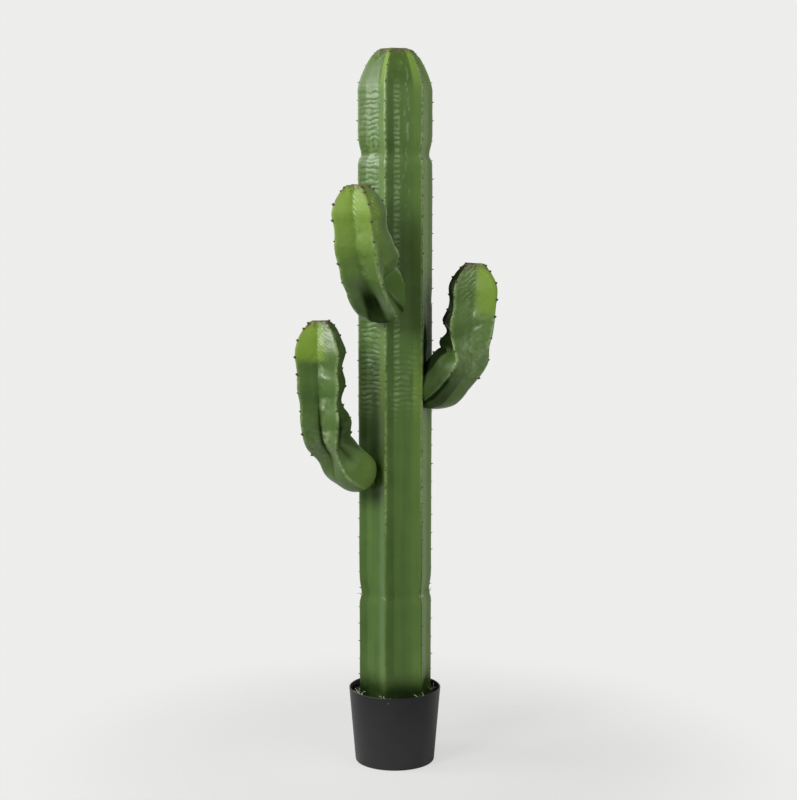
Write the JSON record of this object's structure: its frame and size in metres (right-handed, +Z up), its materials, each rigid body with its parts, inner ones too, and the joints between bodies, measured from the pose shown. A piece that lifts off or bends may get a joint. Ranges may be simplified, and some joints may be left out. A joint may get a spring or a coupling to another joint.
{
  "type": "artificial candelabra cactus in a pot",
  "caption": "Artificial candelabra cactus: a tall ribbed column with bent, upturned ribbed arms, set in cement in a plain tapered pot, to stand on a floor as decoration",
  "frame": {"origin": "centre of the pot's flat underside", "axes": "+Z up along the column, the front faces -Y, +X to the right seen from the front"},
  "size_m": [0.3391, 0.2659, 1.247],
  "materials": {
    "cactus_skin": "satin",
    "cactus_tip": "satin",
    "pot_plastic": "matte",
    "cement": "rough"
  },
  "bodies": {
    "root": {"pot": "pot_plastic", "pot_filler": "cement", "column": "cactus_skin", "arm_left_foot": "cactus_skin", "arm_left_upper": "cactus_tip", "arm_front_foot": "cactus_skin", "arm_front_upper": "cactus_tip", "arm_right_foot": "cactus_skin", "arm_right_upper": "cactus_tip"}
  },
  "joints": []
}
